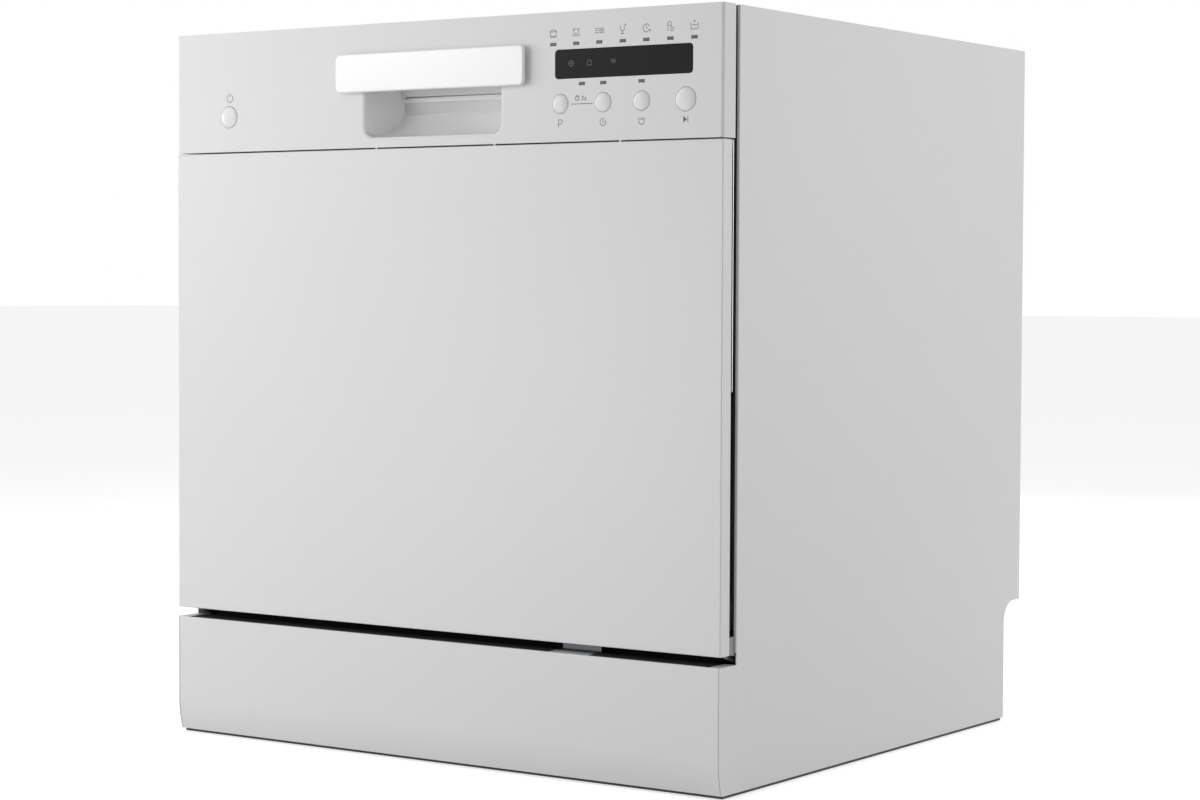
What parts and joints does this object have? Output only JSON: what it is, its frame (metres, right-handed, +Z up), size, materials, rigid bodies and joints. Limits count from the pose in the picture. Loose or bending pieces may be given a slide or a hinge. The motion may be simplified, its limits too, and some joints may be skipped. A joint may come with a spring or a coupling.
{
  "type": "countertop dishwasher",
  "caption": "Compact freestanding dishwasher with a drop-down door, fascia with buttons and display, sliding wire baskets, spray arms, pump set and rear water ports.",
  "frame": {"origin": "centre of the outer box on the worktop, under the feet", "axes": "+X to the right seen from the front, +Y towards the back, +Z up"},
  "size_m": [0.55, 0.506, 0.595],
  "materials": {
    "white_sheet": "baked white enamel, satin",
    "white_plastic": "moulded ABS, satin",
    "gloss_white": "moulded ABS, polished",
    "button_plastic": "moulded ABS, fine grain",
    "display_acrylic": "black acrylic, polished",
    "lens_plastic": "smoked lens",
    "stainless": "brushed",
    "zinc_steel": "zinc plated",
    "black_plastic": "moulded polypropylene",
    "dark_plastic": "glass filled nylon",
    "rubber": "extruded EPDM",
    "light_polypropylene": "moulded polypropylene",
    "grey_plastic": "moulded polypropylene",
    "blue_plastic": "moulded polypropylene",
    "coated_wire": "nylon coated wire",
    "board": "glass fibre board with solder mask"
  },
  "bodies": {
    "cabinet": {"cabinet_wrap": "white_sheet", "back_panel": "zinc_steel", "base_tray": "black_plastic", "plinth_panel": "white_sheet", "feet": "rubber", "case_screws": "zinc_steel", "tub": "stainless", "door_seals": "rubber", "side_trims": "black_plastic", "front_brackets": "stainless", "door_springs": "zinc_steel", "latch_strike": "stainless", "rail_brackets": "stainless", "sump": "light_polypropylene", "coarse_filter": "stainless", "wash_pump_housing": "light_polypropylene", "wash_motor": "dark_plastic", "drain_pump": "dark_plastic", "flow_heater": "stainless", "softener_tank": "light_polypropylene", "wash_manifold": "grey_plastic", "inlet_valve": "light_polypropylene", "drain_outlet": "dark_plastic", "cable_gland": "black_plastic", "air_break": "light_polypropylene"},
    "micro_filter": {"micro_filter": "grey_plastic"},
    "wash_impeller": {"wash_impeller": "dark_plastic"},
    "salt_cap": {"salt_cap": "grey_plastic"},
    "float_dome": {"float_switch_dome": "grey_plastic"},
    "lower_spray_arm": {"lower_spray_arm": "grey_plastic"},
    "door": {"door_outer_panel": "white_sheet", "door_inner_liner": "stainless", "control_fascia": "white_plastic", "handle_bar": "gloss_white", "display_window": "display_acrylic", "indicator_lenses": "lens_plastic", "control_board": "board", "door_lock": "dark_plastic", "hinge_arms": "zinc_steel", "dispenser_body": "grey_plastic", "inner_door_screws": "stainless"},
    "dispenser_lid": {"dispenser_lid": "grey_plastic"},
    "rinse_aid_cap": {"rinse_aid_cap": "blue_plastic"},
    "release_lever": {"release_lever": "button_plastic"},
    "latch_claw": {"latch_claw": "dark_plastic"},
    "power_button": {"power_button": "button_plastic"},
    "program_button": {"program_button": "button_plastic"},
    "delay_button": {"delay_button": "button_plastic"},
    "option_button": {"option_button": "button_plastic"},
    "start_button": {"start_button": "button_plastic"},
    "upper_basket": {"upper_basket": "coated_wire"},
    "upper_front_rollers": {"upper_front_rollers": "grey_plastic"},
    "upper_rear_rollers": {"upper_rear_rollers": "grey_plastic"},
    "upper_rails": {"upper_rails": "stainless"},
    "upper_spray_arm": {"upper_spray_arm": "grey_plastic"},
    "cup_shelf": {"cup_shelf": "grey_plastic"},
    "lower_basket": {"lower_basket": "coated_wire", "cutlery_basket": "grey_plastic"},
    "lower_front_wheels": {"lower_front_wheels": "grey_plastic"},
    "lower_rear_wheels": {"lower_rear_wheels": "grey_plastic"}
  },
  "joints": [
    {"name": "door_hinge", "type": "hinge", "parent": "cabinet", "child": "door", "pos_m": [0, -0.235, 0.115], "axis": [1, 0, 0], "range_deg": [0, 90], "deforming": ["door_springs"]},
    {"name": "release_lever_pull", "type": "hinge", "parent": "door", "child": "release_lever", "pos_m": [0, -0.2114, 0.564], "axis": [-1, 0, 0], "range_deg": [0, 16], "stiffness_Nm_per_rad": 0.3, "springref_deg": -17.19},
    {"name": "latch_claw_tilt", "type": "hinge", "parent": "door", "child": "latch_claw", "pos_m": [0, -0.205, 0.584], "axis": [-1, 0, 0], "range_deg": [0, 8]},
    {"name": "power_press", "type": "slide", "parent": "door", "child": "power_button", "axis": [0, 1, 0], "range_m": [0, 0.0015], "stiffness_N_per_m": 1500, "springref_m": -0.0006},
    {"name": "program_press", "type": "slide", "parent": "door", "child": "program_button", "axis": [0, 1, 0], "range_m": [0, 0.0015], "stiffness_N_per_m": 1500, "springref_m": -0.0006},
    {"name": "delay_press", "type": "slide", "parent": "door", "child": "delay_button", "axis": [0, 1, 0], "range_m": [0, 0.0015], "stiffness_N_per_m": 1500, "springref_m": -0.0006},
    {"name": "option_press", "type": "slide", "parent": "door", "child": "option_button", "axis": [0, 1, 0], "range_m": [0, 0.0015], "stiffness_N_per_m": 1500, "springref_m": -0.0006},
    {"name": "start_press", "type": "slide", "parent": "door", "child": "start_button", "axis": [0, 1, 0], "range_m": [0, 0.0015], "stiffness_N_per_m": 1500, "springref_m": -0.0006},
    {"name": "dispenser_lid_slide", "type": "slide", "parent": "door", "child": "dispenser_lid", "axis": [-1, 0, 0], "range_m": [0, 0.062]},
    {"name": "rinse_cap_turn", "type": "hinge", "parent": "door", "child": "rinse_aid_cap", "pos_m": [0.04, -0.201, 0.354], "axis": [0, 1, 0], "range_deg": [0, 90]},
    {"name": "micro_filter_turn", "type": "hinge", "parent": "cabinet", "child": "micro_filter", "pos_m": [0.07, -0.067, 0.12], "axis": [0, 0, 1], "range_deg": [0, 45]},
    {"name": "salt_cap_turn", "type": "hinge", "parent": "cabinet", "child": "salt_cap", "pos_m": [-0.17, 0.108, 0.149], "axis": [0, 0, 1], "range_deg": [0, 360]},
    {"name": "float_rise", "type": "slide", "parent": "cabinet", "child": "float_dome", "axis": [0, 0, 1], "range_m": [0, 0.005]},
    {"name": "impeller_spin", "type": "hinge", "parent": "cabinet", "child": "wash_impeller", "pos_m": [0.14, -0.067, 0.064], "axis": [1, 0, 0], "continuous": true},
    {"name": "lower_arm_spin", "type": "hinge", "parent": "cabinet", "child": "lower_spray_arm", "pos_m": [0, 0.003, 0.16], "axis": [0, 0, 1], "continuous": true},
    {"name": "lower_basket_slide", "type": "slide", "parent": "cabinet", "child": "lower_basket", "axis": [0, -1, 0], "range_m": [0, 0.11]},
    {"name": "lower_front_wheels_roll", "type": "hinge", "parent": "lower_basket", "child": "lower_front_wheels", "pos_m": [0, -0.127, 0.1613], "axis": [1, 0, 0], "range_deg": [0, 526]},
    {"name": "lower_rear_wheels_roll", "type": "hinge", "parent": "lower_basket", "child": "lower_rear_wheels", "pos_m": [0, 0.157, 0.1613], "axis": [1, 0, 0], "range_deg": [0, 526]},
    {"name": "upper_rails_slide", "type": "slide", "parent": "cabinet", "child": "upper_rails", "axis": [0, -1, 0], "range_m": [0, 0.165]},
    {"name": "upper_basket_slide", "type": "slide", "parent": "cabinet", "child": "upper_basket", "axis": [0, -1, 0], "range_m": [0, 0.33]},
    {"name": "upper_front_rollers_roll", "type": "hinge", "parent": "upper_basket", "child": "upper_front_rollers", "pos_m": [0, -0.007, 0.4013], "axis": [1, 0, 0], "range_deg": [0, 1183]},
    {"name": "upper_rear_rollers_roll", "type": "hinge", "parent": "upper_basket", "child": "upper_rear_rollers", "pos_m": [0, 0.187, 0.4013], "axis": [1, 0, 0], "range_deg": [0, 1183]},
    {"name": "upper_arm_spin", "type": "hinge", "parent": "upper_basket", "child": "upper_spray_arm", "pos_m": [0, 0.003, 0.345], "axis": [0, 0, 1], "continuous": true},
    {"name": "cup_shelf_fold", "type": "hinge", "parent": "upper_basket", "child": "cup_shelf", "pos_m": [-0.221, 0.009, 0.43], "axis": [0, 1, 0], "range_deg": [0, 90]}
  ],
  "couplings": [
    {"joint": "latch_claw_tilt", "follows": "release_lever_pull", "ratio": 0.5},
    {"joint": "upper_rails_slide", "follows": "door_hinge", "m_per_rad": 0.105},
    {"joint": "upper_basket_slide", "follows": "door_hinge", "m_per_rad": 0.21},
    {"joint": "lower_basket_slide", "follows": "door_hinge", "m_per_rad": 0.07},
    {"joint": "upper_front_rollers_roll", "follows": "door_hinge", "ratio": 13.125},
    {"joint": "upper_rear_rollers_roll", "follows": "door_hinge", "ratio": 13.125},
    {"joint": "lower_front_wheels_roll", "follows": "door_hinge", "ratio": 5.8333},
    {"joint": "lower_rear_wheels_roll", "follows": "door_hinge", "ratio": 5.8333}
  ]
}
